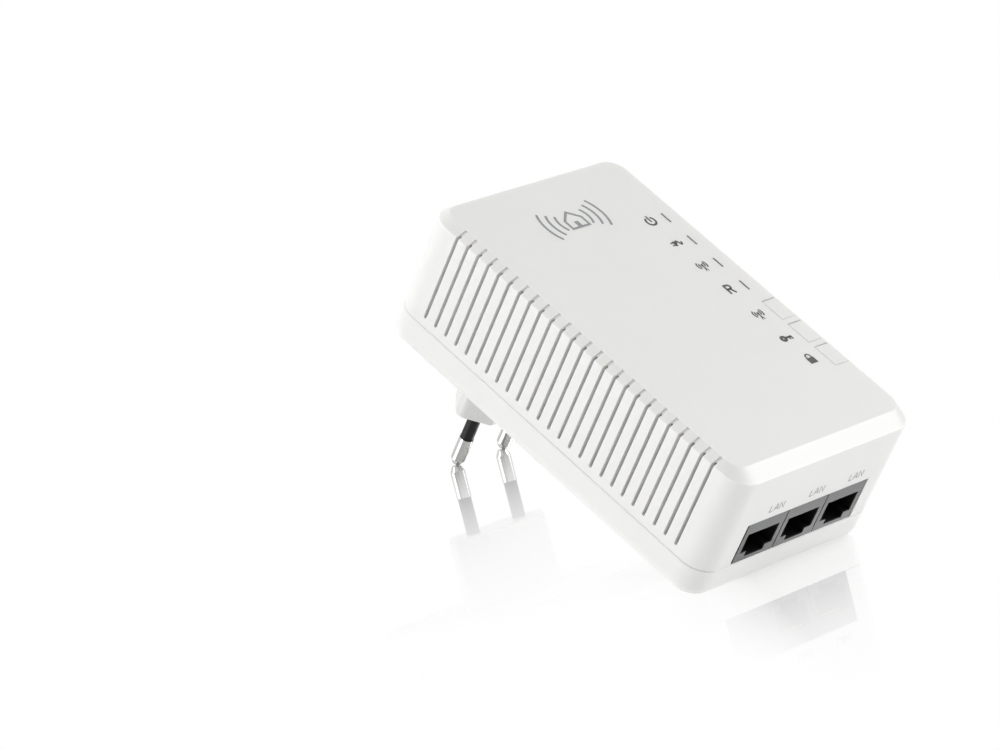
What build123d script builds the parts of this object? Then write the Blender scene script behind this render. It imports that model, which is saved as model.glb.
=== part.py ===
from build123d import *
import os

# Plug-in powerline network adapter with a wireless radio and three wired network ports.
#
# Frame: +Z runs up the long side of the housing, the front faces -Y, and the two mains pins
# point +Y into the wall. The origin is midway between the pins, on the end face of the plug
# nose. All sizes are millimetres.

os.makedirs("parts", exist_ok=True)

# Housing
housing_width = 70.6
housing_length = 115.3
housing_depth = 39.5
top_z = 20.5
corner_radius = 6.8
wall = 2.2
cover_height = 30.3
back_edge_radius = 3.4
seam_chamfer = 0.25
tongue_height = 2.0
tongue_inset = 1.1
fit_gap = 0.1

# Rim between the front face and the sides: sloped on the left and at the port end, tight elsewhere
rim_drop = 1.7
rim_left = 2.8
rim_right = 0.5
rim_port_end = 4.95
rim_top_end = 1.5
rim_corner_radius = 5.0
rim_softening = 0.45

# Ventilation slots in the two long sides
vent_count = 25
vent_pitch = 3.92
vent_width = 1.0
vent_middle_z = -37.49
vent_end_drop = 27.85
vent_right_start = 9.0
vent_left_start = 1.4
vent_groove_depth = 0.5

# Mains plug: a flat two-pin European plug on a raised nose
nose_height = 19.25
nose_width = 37.4
nose_depth = 14.2
nose_draft = 0.5
nose_tip_radius = 2.8
nose_side_radius = 1.5
nose_end_radius = 0.9
nose_flange_margin = 2.0
nose_flange_thickness = 2.0
nose_core_width = 10.0
nose_core_depth = 8.6
nose_opening_gap = 0.5
pin_spacing = 18.2
pin_radius = 2.0
pin_core_radius = 1.5
pin_length = 19.0
pin_metal_length = 9.0
pin_taper_length = 1.8
pin_taper_width = 0.9
pin_end_rounding = 0.8
sleeve_radius = 1.8
sleeve_root = 4.0
pin_solder_length = 1.2

# Rating label
label_width = 44.0
label_length = 34.0
label_z = -44.0
label_recess = 0.3
label_corner_radius = 2.0

# Fasteners
screw_x = 28.8
screw_top_z = 13.2
screw_port_z = -74.0
screw_radius = 1.25
screw_length = 14.0
screw_head_radius = 2.4
screw_head_height = 1.8
screw_head_rounding = 0.5
screw_cross_length = 2.4
screw_cross_width = 0.6
screw_cross_depth = 1.0
screw_recess_radius = 2.9
screw_recess_depth = 5.0
screw_clearance_radius = 1.5
boss_radius = 3.1
tower_radius = 3.9
boss_notch_radius = 4.3
boss_end_drop = 28.7
small_screw_radius = 1.0
small_screw_length = 6.0
small_screw_head_radius = 2.0
small_screw_head_height = 1.3
post_radius = 2.4

# Boards
board_thickness = 1.6
board_half_width = 32.4
main_board_drop = 15.55
main_board_low_z = -91.6
board_high_z = 16.5
power_board_lift = 2.35
power_board_low_z = -69.5
board_corner_radius = 5.0

# Wired network ports
port_count = 3
port_pitch = 16.0
port_width = 15.6
port_height = 13.1
port_length = 17.5
port_recess = 0.2
port_shift = 1.0
port_window_width = 48.7
port_window_shift = 0.55
port_mouth_width = 12.4
port_mouth_height = 6.3
port_mouth_drop = 21.05
port_mouth_depth = 13.0
latch_steps = [(7.4, 1.7), (4.6, 0.9)]
contact_count = 8
contact_pitch = 1.02
contact_width = 0.45
contact_thickness = 0.35
contact_setback = 1.2
contact_length = 8.4
contact_drop = 1.7
contact_root = 0.6

# Status lights
light_x = 29.67
light_pitch = 9.91
light_first_z = -5.98
light_count = 4
light_length = 3.76
light_width = 0.55
light_slit_gap = 0.05

# Keys
key_names = ["wifi", "pair", "lock"]
key_inner_x = 29.1
key_first_z = -46.63
key_pitch = 9.8
key_length = 7.6
key_gap = 0.2
key_travel = 0.6
key_skirt = 6.0
key_shell = 1.4
key_hook_reach = 1.4
key_stem = 2.4
key_edge_radius = 0.25
key_hook_gap = 0.4
key_hook_thickness = 1.0
switch_x = 29.6
switch_side = 6.0
switch_height = 3.5
plunger_radius = 1.7
plunger_gap = 0.15
plunger_stand = 1.3
plunger_depth = 0.7
plunger_spare = 0.5

# Depths, counted from the front face towards the wall
back_y = -nose_height
front_y = back_y - housing_depth
parting_y = front_y + cover_height
front_inner_y = front_y + wall
back_inner_y = back_y - wall
port_end_z = top_z - housing_length
middle_z = top_z - housing_length / 2
main_front_y = front_y + main_board_drop
main_back_y = main_front_y + board_thickness
power_back_y = back_inner_y - power_board_lift
power_front_y = power_back_y - board_thickness
board_gap = power_front_y - main_back_y
screw_points = [(x, z) for x in (-screw_x, screw_x) for z in (screw_top_z, screw_port_z)]
light_zs = [light_first_z - light_pitch * step for step in range(light_count)]
key_zs = [key_first_z - key_pitch * step for step in range(len(key_names))]
port_xs = [port_shift + port_pitch * (step - (port_count - 1) / 2) for step in range(port_count)]
pin_xs = {"left": -pin_spacing / 2, "right": pin_spacing / 2}


def at_depth(y):
    """Sketch plane at depth y: local x is +X, local y is +Z, and its normal is -Y."""
    return Plane.XZ.offset(-y)


def post_points(left, right, high, low):
    """The four corners of a rectangle of posts, as (x, z) pairs."""
    return [(x, z) for x in (left, right) for z in (high, low)]


main_posts = post_points(-25.0, 19.0, 2.0, -69.0)
power_posts = post_points(-27.0, 27.0, -4.0, -65.5)

# ---------------------------------------------------------------- housing

# Outer form of the cover, from the seam to the front face with its sloped rim
with BuildPart() as cover_form:
    with BuildSketch(at_depth(parting_y)):
        with Locations((0, middle_z)):
            RectangleRounded(housing_width, housing_length, corner_radius)
    extrude(amount=cover_height - rim_drop)
    with BuildSketch(at_depth(front_y + rim_drop)):
        with Locations((0, middle_z)):
            RectangleRounded(housing_width, housing_length, corner_radius)
    with BuildSketch(at_depth(front_y)):
        with Locations(((rim_left - rim_right) / 2, middle_z + (rim_port_end - rim_top_end) / 2)):
            RectangleRounded(
                housing_width - rim_left - rim_right,
                housing_length - rim_port_end - rim_top_end,
                rim_corner_radius,
            )
    loft(ruled=True)
    fillet(cover_form.faces().sort_by(Axis.Y)[0].edges(), rim_softening)
    chamfer(cover_form.faces().sort_by(Axis.Y)[-1].edges(), seam_chamfer)

# Front cover: five-sided moulding that carries the vents, ports, keys and the main board
with BuildPart() as front_cover:
    add(cover_form.part)
    with BuildSketch(at_depth(parting_y)):
        with Locations((0, middle_z)):
            RectangleRounded(
                housing_width - 2 * wall, housing_length - 2 * wall, corner_radius - wall
            )
    extrude(amount=cover_height - wall, mode=Mode.SUBTRACT)
    # rebate that takes the back shell's tongue
    with BuildSketch(at_depth(parting_y)):
        with Locations((0, middle_z)):
            RectangleRounded(
                housing_width - 2 * (tongue_inset - fit_gap),
                housing_length - 2 * (tongue_inset - fit_gap),
                corner_radius - tongue_inset,
            )
    extrude(amount=tongue_height + fit_gap, mode=Mode.SUBTRACT)
    # screw bosses and main board posts, with their pilot holes
    with BuildSketch(at_depth(front_y + boss_end_drop)):
        with Locations(*screw_points):
            Circle(boss_radius)
    extrude(amount=boss_end_drop - wall)
    with BuildSketch(at_depth(main_front_y)):
        with Locations(*main_posts):
            Circle(post_radius)
    extrude(amount=main_board_drop - wall)
    with BuildSketch(at_depth(front_y + boss_end_drop)):
        with Locations(*screw_points):
            Circle(screw_radius)
    extrude(amount=screw_length, mode=Mode.SUBTRACT)
    with BuildSketch(at_depth(main_front_y)):
        with Locations(*main_posts):
            Circle(small_screw_radius)
    extrude(amount=small_screw_length, mode=Mode.SUBTRACT)
    # left vents end at the sloped rim, right vents start below the keys
    left_vent_length = vent_end_drop - vent_left_start
    with BuildSketch(Plane.YZ.offset(rim_left - housing_width / 2)):
        with Locations((front_y + vent_end_drop - left_vent_length / 2, vent_middle_z)):
            with GridLocations(0, vent_pitch, 1, vent_count):
                SlotOverall(left_vent_length, vent_width)
    extrude(amount=-corner_radius, mode=Mode.SUBTRACT)
    # shallow grooves carry the left vents on over the rim, and end at the front face
    rim_normal = Vector(rim_drop, rim_left).normalized()
    rim_low = Vector(-housing_width / 2, front_y + rim_drop)
    rim_high = Vector(rim_left - housing_width / 2, front_y)
    groove_floor = rim_normal * vent_groove_depth
    vent_zs = [
        vent_middle_z + vent_pitch * (step - (vent_count - 1) / 2) for step in range(vent_count)
    ]
    with BuildSketch(*[Plane.XY.offset(z - vent_width / 2) for z in vent_zs]):
        Polygon(
            rim_low - rim_normal,
            rim_low + groove_floor,
            rim_high + groove_floor,
            rim_high - rim_normal,
            align=None,
        )
    extrude(amount=vent_width, mode=Mode.SUBTRACT)
    right_vent_length = vent_end_drop - vent_right_start
    with BuildSketch(Plane.YZ.offset(housing_width / 2 - rim_left)):
        with Locations((front_y + vent_end_drop - right_vent_length / 2, vent_middle_z)):
            with GridLocations(0, vent_pitch, 1, vent_count):
                SlotOverall(right_vent_length, vent_width)
    extrude(amount=corner_radius, mode=Mode.SUBTRACT)
    # slits for the status lights
    with BuildSketch(at_depth(front_inner_y)):
        with Locations(*[(light_x, z) for z in light_zs]):
            Rectangle(light_width + 2 * light_slit_gap, light_length + 2 * light_slit_gap)
    extrude(amount=wall, mode=Mode.SUBTRACT)
    # notches over the right-hand rim for the keys
    notch_depth = key_skirt + key_travel + key_gap
    notch_width = housing_width / 2 - key_inner_x + key_gap
    with BuildSketch(at_depth(front_y + notch_depth)):
        with Locations(*[(housing_width / 2 - notch_width / 2, z) for z in key_zs]):
            Rectangle(notch_width, key_length + 2 * key_gap)
    extrude(amount=notch_depth, mode=Mode.SUBTRACT)
    # window for the network ports, open to the seam
    with BuildSketch(at_depth(parting_y)):
        with Locations((port_window_shift, port_end_z)):
            Rectangle(port_window_width, 2 * wall + fit_gap)
    extrude(amount=parting_y - main_back_y + fit_gap, mode=Mode.SUBTRACT)
front_cover.part.label = "front_cover"
export_step(front_cover.part, "parts/front_cover.step")

# Outline of the plug nose: a flat hexagon with right-angled ends
with BuildSketch() as nose_outline:
    nose_flat = (nose_width - nose_depth) / 2
    Polygon(
        (-nose_width / 2, 0),
        (-nose_flat, -nose_depth / 2),
        (nose_flat, -nose_depth / 2),
        (nose_width / 2, 0),
        (nose_flat, nose_depth / 2),
        (-nose_flat, nose_depth / 2),
    )
    fillet(nose_outline.vertices().group_by(Axis.Y)[0], nose_side_radius)
    fillet(nose_outline.vertices().group_by(Axis.Y)[-1], nose_side_radius)
    fillet(nose_outline.vertices().group_by(Axis.X)[0], nose_tip_radius)
    fillet(nose_outline.vertices().group_by(Axis.X)[-1], nose_tip_radius)

# Back shell: shallow tray with the plug opening, screw towers and board posts
with BuildPart() as back_shell:
    with BuildSketch(at_depth(back_y)):
        with Locations((0, middle_z)):
            RectangleRounded(housing_width, housing_length, corner_radius)
    extrude(amount=housing_depth - cover_height)
    fillet(back_shell.faces().sort_by(Axis.Y)[-1].edges(), back_edge_radius)
    chamfer(back_shell.faces().sort_by(Axis.Y)[0].edges(), seam_chamfer)
    # tongue that enters the cover's rebate, left out behind the ports
    with BuildSketch(at_depth(parting_y)):
        with Locations((0, middle_z)):
            RectangleRounded(
                housing_width - 2 * tongue_inset,
                housing_length - 2 * tongue_inset,
                corner_radius - tongue_inset,
            )
        with Locations((port_window_shift, port_end_z)):
            Rectangle(port_window_width + 2 * fit_gap, 2 * wall, mode=Mode.SUBTRACT)
    extrude(amount=tongue_height)
    with BuildSketch(at_depth(back_inner_y)):
        with Locations((0, middle_z)):
            RectangleRounded(
                housing_width - 2 * wall, housing_length - 2 * wall, corner_radius - wall
            )
    extrude(amount=housing_depth, mode=Mode.SUBTRACT)
    # screw towers and board posts
    tower_height = back_inner_y - (front_y + boss_end_drop)
    with BuildSketch(at_depth(back_inner_y)):
        with Locations(*screw_points):
            Circle(tower_radius)
    extrude(amount=tower_height)
    with BuildSketch(at_depth(back_inner_y)):
        with Locations(*power_posts):
            Circle(post_radius)
    extrude(amount=power_board_lift)
    with BuildSketch(at_depth(back_inner_y)):
        with Locations(*power_posts):
            Circle(small_screw_radius)
    extrude(amount=power_board_lift, mode=Mode.SUBTRACT)
    # recessed screw holes, opened from the back face
    with BuildSketch(at_depth(back_y)):
        with Locations(*screw_points):
            Circle(screw_recess_radius)
    extrude(amount=screw_recess_depth, mode=Mode.SUBTRACT)
    with BuildSketch(at_depth(back_y)):
        with Locations(*screw_points):
            Circle(screw_clearance_radius)
    extrude(amount=wall + tower_height, mode=Mode.SUBTRACT)
    # plug opening and the shallow recess for the label
    with BuildSketch(at_depth(back_y)):
        add(nose_outline.sketch)
        offset(amount=nose_opening_gap)
    extrude(amount=wall, mode=Mode.SUBTRACT)
    with BuildSketch(at_depth(back_y)):
        with Locations((0, label_z)):
            RectangleRounded(label_width + 2 * fit_gap, label_length + 2 * fit_gap, label_corner_radius)
    extrude(amount=label_recess, mode=Mode.SUBTRACT)
back_shell.part.label = "back_shell"
export_step(back_shell.part, "parts/back_shell.step")

# Rating label: blank printed film in the recess
with BuildPart() as rating_label:
    with BuildSketch(at_depth(back_y - label_recess / 2)):
        with Locations((0, label_z)):
            RectangleRounded(label_width, label_length, label_corner_radius - fit_gap)
    extrude(amount=label_recess / 2)
rating_label.part.label = "rating_label"
export_step(rating_label.part, "parts/rating_label.step")

# Housing screws: four pan-head screws from the back into the cover's bosses
with BuildPart() as housing_screws:
    with BuildSketch(at_depth(back_y - screw_recess_depth + screw_head_height)):
        with Locations(*screw_points):
            Circle(screw_head_radius)
    extrude(amount=screw_head_height)
    fillet(housing_screws.edges().group_by(Axis.Y)[-1], screw_head_rounding)
    with BuildSketch(at_depth(back_y - screw_recess_depth)):
        with Locations(*screw_points):
            Circle(screw_radius)
    extrude(amount=screw_length)
    with BuildSketch(at_depth(back_y - screw_recess_depth + screw_head_height)):
        with Locations(*screw_points):
            Rectangle(screw_cross_length, screw_cross_width)
            Rectangle(screw_cross_width, screw_cross_length)
    extrude(amount=screw_cross_depth, mode=Mode.SUBTRACT)
housing_screws.part.label = "housing_screws"
export_step(housing_screws.part, "parts/housing_screws.step")

# ---------------------------------------------------------------- mains plug

# Plug nose: insulating moulding clamped in the back shell by its inner flange
with BuildPart() as plug_nose:
    with BuildSketch(at_depth(0)):
        add(nose_outline.sketch)
    extrude(amount=nose_height + wall, taper=-nose_draft)
    fillet(plug_nose.faces().sort_by(Axis.Y)[-1].edges(), nose_end_radius)
    with BuildSketch(at_depth(back_inner_y)):
        add(nose_outline.sketch)
        offset(amount=nose_flange_margin)
    extrude(amount=nose_flange_thickness)
    # cored out from the inside, with full walls round both pins
    with BuildSketch(at_depth(back_inner_y - nose_flange_thickness)):
        Rectangle(nose_core_width, nose_core_depth)
    extrude(amount=-(nose_height + nose_flange_thickness - wall), mode=Mode.SUBTRACT)
    with BuildSketch(at_depth(0)):
        with Locations(*[(x, 0) for x in pin_xs.values()]):
            Circle(sleeve_radius)
    extrude(amount=sleeve_root, mode=Mode.SUBTRACT)
    with BuildSketch(at_depth(0)):
        with Locations(*[(x, 0) for x in pin_xs.values()]):
            Circle(pin_core_radius)
    extrude(amount=nose_height + wall + nose_flange_thickness, mode=Mode.SUBTRACT)
plug_nose.part.label = "plug_nose"
export_step(plug_nose.part, "parts/plug_nose.step")

# Pins: turned metal with a bare tip and a thinner shank, soldered to the power board
pin_tail_y = power_front_y - pin_solder_length
pin_shoulder_y = pin_length - pin_metal_length
for side, pin_x in pin_xs.items():
    with BuildPart() as pin:
        with BuildSketch(Plane.XY) as pin_profile:
            Polygon(
                (pin_x, pin_tail_y),
                (pin_x + pin_core_radius, pin_tail_y),
                (pin_x + pin_core_radius, pin_shoulder_y),
                (pin_x + pin_radius, pin_shoulder_y),
                (pin_x + pin_radius, pin_length - pin_taper_length),
                (pin_x + pin_radius - pin_taper_width, pin_length),
                (pin_x, pin_length),
                align=None,
            )
            tip_corner = pin_profile.vertices().group_by(Axis.Y)[-1].sort_by(Axis.X)[-1]
            fillet(tip_corner, pin_end_rounding)
        revolve(axis=Axis((pin_x, 0, 0), (0, 1, 0)))
    pin.part.label = f"pin_{side}"
    export_step(pin.part, f"parts/pin_{side}.step")

    # Insulating sleeve on the root half of the pin
    with BuildPart() as sleeve:
        with BuildSketch(at_depth(pin_shoulder_y)):
            with Locations((pin_x, 0)):
                Circle(sleeve_radius)
                Circle(pin_core_radius, mode=Mode.SUBTRACT)
        extrude(amount=pin_shoulder_y + sleeve_root)
    sleeve.part.label = f"pin_sleeve_{side}"
    export_step(sleeve.part, f"parts/pin_sleeve_{side}.step")

# ---------------------------------------------------------------- circuit boards

# Power board: mains side, on posts of the back shell, drilled for the two pins
with BuildPart() as power_board:
    with BuildSketch(at_depth(power_back_y)):
        with Locations((0, (board_high_z + power_board_low_z) / 2)):
            RectangleRounded(
                2 * board_half_width, board_high_z - power_board_low_z, board_corner_radius
            )
        with Locations(*screw_points):
            Circle(boss_notch_radius, mode=Mode.SUBTRACT)
        with Locations(*[(x, 0) for x in pin_xs.values()]):
            Circle(pin_core_radius + fit_gap, mode=Mode.SUBTRACT)
        with Locations(*power_posts):
            Circle(small_screw_radius + fit_gap, mode=Mode.SUBTRACT)
    extrude(amount=board_thickness)
power_board.part.label = "power_board"
export_step(power_board.part, "parts/power_board.step")

# Main board: network side, hung on posts of the front cover
with BuildPart() as main_board:
    with BuildSketch(at_depth(main_back_y)):
        with Locations((0, (board_high_z + main_board_low_z) / 2)):
            RectangleRounded(
                2 * board_half_width, board_high_z - main_board_low_z, board_corner_radius
            )
        with Locations(*screw_points):
            Circle(boss_notch_radius, mode=Mode.SUBTRACT)
        with Locations(*main_posts):
            Circle(small_screw_radius + fit_gap, mode=Mode.SUBTRACT)
    extrude(amount=board_thickness)
main_board.part.label = "main_board"
export_step(main_board.part, "parts/main_board.step")

# Main board screws: heads on the board's wall side, shanks into the cover's posts
with BuildPart() as main_board_screws:
    with BuildSketch(at_depth(main_back_y + small_screw_head_height)):
        with Locations(*main_posts):
            Circle(small_screw_head_radius)
    extrude(amount=small_screw_head_height)
    with BuildSketch(at_depth(main_back_y)):
        with Locations(*main_posts):
            Circle(small_screw_radius)
    extrude(amount=small_screw_length)
main_board_screws.part.label = "main_board_screws"
export_step(main_board_screws.part, "parts/main_board_screws.step")

# Power board screws: heads on the board's front side, shanks into the back shell's posts
with BuildPart() as power_board_screws:
    with BuildSketch(at_depth(power_front_y)):
        with Locations(*power_posts):
            Circle(small_screw_head_radius)
    extrude(amount=small_screw_head_height)
    with BuildSketch(at_depth(back_inner_y)):
        with Locations(*power_posts):
            Circle(small_screw_radius)
    extrude(amount=power_board_lift + board_thickness)
power_board_screws.part.label = "power_board_screws"
export_step(power_board_screws.part, "parts/power_board_screws.step")

# Insulating sheet: film between the power board's solder side and the back shell
sheet_width = 46.0
sheet_length = 50.0
sheet_z = -38.0
sheet_lift = 0.8
sheet_thickness = 0.4
sheet_corner_radius = 3.0
with BuildPart() as insulating_sheet:
    with BuildSketch(at_depth(back_inner_y - sheet_lift)):
        with Locations((0, sheet_z)):
            RectangleRounded(sheet_width, sheet_length, sheet_corner_radius)
    extrude(amount=sheet_thickness)
insulating_sheet.part.label = "insulating_sheet"
export_step(insulating_sheet.part, "parts/insulating_sheet.step")

# Board header: pin row that joins the two boards, through a plastic spacer
header_x = 24.5
header_z = -24.0
header_pitch = 2.54
header_rows = 2
header_pins = 8
header_pin_side = 0.64
header_height = 8.5
with BuildPart() as board_header:
    with BuildSketch(at_depth(power_front_y)):
        with Locations((header_x, header_z)):
            Rectangle(header_rows * header_pitch, header_pins * header_pitch)
    extrude(amount=header_height)
    with BuildSketch(at_depth(power_front_y)):
        with Locations((header_x, header_z)):
            with GridLocations(header_pitch, header_pitch, header_rows, header_pins):
                Rectangle(header_pin_side, header_pin_side)
    extrude(amount=board_gap)
board_header.part.label = "board_header"
export_step(board_header.part, "parts/board_header.step")

# ---------------------------------------------------------------- mains components

# Fuse: glass tube with two metal caps, lying across the board
fuse_left_x = -28.0
fuse_z = -13.0
fuse_length = 20.0
fuse_radius = 2.4
fuse_cap_radius = 2.6
fuse_cap_length = 5.0
fuse_y = power_front_y - 3.4
with BuildPart() as fuse:
    with BuildSketch(Plane.YZ.offset(fuse_left_x)):
        with Locations((fuse_y, fuse_z)):
            Circle(fuse_radius)
    extrude(amount=fuse_length)
    for cap_x in (fuse_left_x, fuse_left_x + fuse_length - fuse_cap_length):
        with BuildSketch(Plane.YZ.offset(cap_x)):
            with Locations((fuse_y, fuse_z)):
                Circle(fuse_cap_radius)
        extrude(amount=fuse_cap_length)
fuse.part.label = "fuse"
export_step(fuse.part, "parts/fuse.step")

# Varistor: coated disc standing on its leads
varistor_x = -15.0
varistor_low_z = -23.2
varistor_radius = 5.2
varistor_thickness = 4.4
varistor_rounding = 1.2
varistor_lift = 8.0
varistor_leads = [(-17.5, -21.5), (-12.5, -20.5)]
lead_wire_radius = 0.4
with BuildPart() as varistor:
    with BuildSketch(at_depth(power_front_y)):
        with Locations(*varistor_leads):
            Circle(lead_wire_radius)
    extrude(amount=varistor_lift / 2)
    with BuildSketch(Plane.XY.offset(varistor_low_z)):
        with Locations((varistor_x, power_front_y - varistor_lift)):
            Circle(varistor_radius)
    extrude(amount=varistor_thickness)
    disc_edges = varistor.edges().filter_by(GeomType.CIRCLE).group_by(SortBy.RADIUS)[-1]
    fillet(disc_edges, varistor_rounding)
varistor.part.label = "varistor"
export_step(varistor.part, "parts/varistor.step")

# Suppression capacitor: potted box across the mains
box_x = 6.0
box_z = -16.5
box_width = 18.0
box_depth = 8.0
box_height = 13.5
box_edge_radius = 0.8
with BuildPart() as x_capacitor:
    with BuildSketch(at_depth(power_front_y)):
        with Locations((box_x, box_z)):
            Rectangle(box_width, box_depth)
    extrude(amount=box_height)
    fillet(x_capacitor.edges().filter_by(Axis.Y), box_edge_radius)
x_capacitor.part.label = "x_capacitor"
export_step(x_capacitor.part, "parts/x_capacitor.step")

# Common-mode choke: ferrite ring on edge with two opposed windings
choke_x = -21.0
choke_y = power_front_y - 8.2
choke_z = -33.0
choke_width = 6.0
choke_outer_radius = 6.4
choke_inner_radius = 3.6
choke_rounding = 0.4
winding_thickness = 1.0
winding_starts = (-65.0, 115.0)
winding_arc = 130.0
choke_axis = Axis((0, choke_y, choke_z), (1, 0, 0))
with BuildPart() as choke_core:
    with BuildSketch(Plane.YZ.offset(choke_x - choke_width / 2)):
        with Locations((choke_y, choke_z)):
            Circle(choke_outer_radius)
            Circle(choke_inner_radius, mode=Mode.SUBTRACT)
    extrude(amount=choke_width)
    fillet(choke_core.edges(), choke_rounding)
choke_core.part.label = "choke_core"
export_step(choke_core.part, "parts/choke_core.step")

with BuildPart() as choke_windings:
    ring_height = choke_outer_radius - choke_inner_radius
    ring_middle = (choke_outer_radius + choke_inner_radius) / 2
    radial_plane = Plane((choke_x, choke_y, choke_z), x_dir=(1, 0, 0), z_dir=(0, 1, 0))
    for start in winding_starts:
        with BuildSketch(radial_plane.rotated((start, 0, 0))):
            with Locations((0, ring_middle)):
                Rectangle(choke_width + 2 * winding_thickness, ring_height + 2 * winding_thickness)
                Rectangle(choke_width, ring_height, mode=Mode.SUBTRACT)
        revolve(axis=choke_axis, revolution_arc=winding_arc)
choke_windings.part.label = "choke_windings"
export_step(choke_windings.part, "parts/choke_windings.step")

# Bulk capacitor: electrolytic can lying along the board
bulk_x = -18.0
bulk_low_z = -64.0
bulk_radius = 6.3
bulk_length = 20.0
bulk_rounding = 0.8
with BuildPart() as bulk_capacitor:
    with BuildSketch(Plane.XY.offset(bulk_low_z)):
        with Locations((bulk_x, power_front_y - bulk_radius - fit_gap)):
            Circle(bulk_radius)
    extrude(amount=bulk_length)
    fillet(bulk_capacitor.edges().filter_by(GeomType.CIRCLE), bulk_rounding)
bulk_capacitor.part.label = "bulk_capacitor"
export_step(bulk_capacitor.part, "parts/bulk_capacitor.step")

# Switching transformer: ferrite frame round a wound bobbin
transformer_x = 1.0
transformer_y = power_front_y - 7.2
transformer_z = -50.0
core_width = 20.0
core_height = 14.0
core_thickness = 6.0
core_window_width = 4.6
core_window_height = 9.0
core_window_x = 5.6
winding_width = 15.6
winding_length = 15.0
winding_corner_radius = 3.0
core_leg_width = 2 * core_window_x - core_window_width
with BuildPart() as transformer_core:
    with BuildSketch(Plane.XY.offset(transformer_z - core_thickness / 2)):
        with Locations((transformer_x, transformer_y)):
            Rectangle(core_width, core_height)
            with Locations((-core_window_x, 0), (core_window_x, 0)):
                Rectangle(core_window_width, core_window_height, mode=Mode.SUBTRACT)
    extrude(amount=core_thickness)
transformer_core.part.label = "transformer_core"
export_step(transformer_core.part, "parts/transformer_core.step")

with BuildPart() as transformer_winding:
    with BuildSketch(at_depth(transformer_y + core_window_height / 2)):
        with Locations((transformer_x, transformer_z)):
            RectangleRounded(winding_width, winding_length, winding_corner_radius)
            Rectangle(core_leg_width, core_thickness, mode=Mode.SUBTRACT)
    extrude(amount=core_window_height)
transformer_winding.part.label = "transformer_winding"
export_step(transformer_winding.part, "parts/transformer_winding.step")

# Output capacitors: two small cans standing beside the transformer
output_points = [(18.5, -60.0), (18.5, -50.0)]
output_radius = 4.0
output_height = 12.5
output_rounding = 0.6
with BuildPart() as output_capacitors:
    with BuildSketch(at_depth(power_front_y)):
        with Locations(*output_points):
            Circle(output_radius)
    extrude(amount=output_height)
    fillet(output_capacitors.edges().group_by(Axis.Y)[0], output_rounding)
output_capacitors.part.label = "output_capacitors"
export_step(output_capacitors.part, "parts/output_capacitors.step")

# Flat packages on the power board: name, x, z, width, length, height
power_package_chamfer = 0.4
power_packages = [
    ("bridge_rectifier", -3.0, -27.5, 8.5, 6.5, 3.0),
    ("power_chip", -3.0, -37.0, 6.5, 9.5, 3.4),
    ("coupling_transformer", 12.0, -31.0, 12.0, 10.5, 8.0),
]
for name, x, z, width, length, height in power_packages:
    with BuildPart() as package:
        with BuildSketch(at_depth(power_front_y)):
            with Locations((x, z)):
                Rectangle(width, length)
        extrude(amount=height)
        chamfer(package.edges().group_by(Axis.Y)[0], power_package_chamfer)
    package.part.label = name
    export_step(package.part, f"parts/{name}.step")

# ---------------------------------------------------------------- network components

# Flat packages on the main board's front side: name, x, z, width, length, height
main_package_chamfer = 0.2
radio_x = -2.0
radio_z = -14.0
chip_x = -4.0
chip_z = -44.0
chip_side = 14.0
chip_height = 1.2
main_packages = [
    ("system_chip", chip_x, chip_z, chip_side, chip_side, chip_height),
    ("memory_chip", -4.0, -62.5, 12.0, 8.0, 1.0),
    ("flash_chip", 12.0, -60.0, 5.3, 5.3, 1.7),
    ("wifi_chip", radio_x, radio_z, 10.0, 10.0, 0.9),
]
for name, x, z, width, length, height in main_packages:
    with BuildPart() as package:
        with BuildSketch(at_depth(main_front_y)):
            with Locations((x, z)):
                Rectangle(width, length)
        extrude(amount=height)
        chamfer(package.edges().group_by(Axis.Y)[0], main_package_chamfer)
    package.part.label = name
    export_step(package.part, f"parts/{name}.step")

# Heatsink: finned extrusion on the system chip
heatsink_side = 20.0
heatsink_base = 1.6
fin_count = 7
fin_pitch = 3.0
fin_width = 1.0
fin_height = 6.0
with BuildPart() as heatsink:
    with BuildSketch(at_depth(main_front_y - chip_height)):
        with Locations((chip_x, chip_z)):
            Rectangle(heatsink_side, heatsink_side)
    extrude(amount=heatsink_base)
    with BuildSketch(at_depth(main_front_y - chip_height - heatsink_base)):
        with Locations((chip_x, chip_z)):
            with GridLocations(fin_pitch, 0, fin_count, 1):
                Rectangle(fin_width, heatsink_side)
    extrude(amount=fin_height)
heatsink.part.label = "heatsink"
export_step(heatsink.part, "parts/heatsink.step")

# Radio shield: drawn metal lid over the radio chip
shield_width = 24.0
shield_length = 22.0
shield_height = 2.6
shield_wall = 0.4
shield_corner_radius = 1.0
with BuildPart() as wifi_shield:
    with BuildSketch(at_depth(main_front_y)):
        with Locations((radio_x, radio_z)):
            RectangleRounded(shield_width, shield_length, shield_corner_radius)
    extrude(amount=shield_height)
    with BuildSketch(at_depth(main_front_y)):
        with Locations((radio_x, radio_z)):
            RectangleRounded(
                shield_width - 2 * shield_wall,
                shield_length - 2 * shield_wall,
                shield_corner_radius - shield_wall,
            )
    extrude(amount=shield_height - shield_wall, mode=Mode.SUBTRACT)
wifi_shield.part.label = "wifi_shield"
export_step(wifi_shield.part, "parts/wifi_shield.step")

# Line magnetics: one isolating package behind each port
magnetics_z = -81.0
magnetics_width = 13.0
magnetics_length = 9.5
magnetics_height = 4.0
with BuildPart() as lan_magnetics:
    with BuildSketch(at_depth(main_front_y)):
        with Locations(*[(x, magnetics_z) for x in port_xs]):
            Rectangle(magnetics_width, magnetics_length)
    extrude(amount=magnetics_height)
lan_magnetics.part.label = "lan_magnetics"
export_step(lan_magnetics.part, "parts/lan_magnetics.step")

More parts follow.
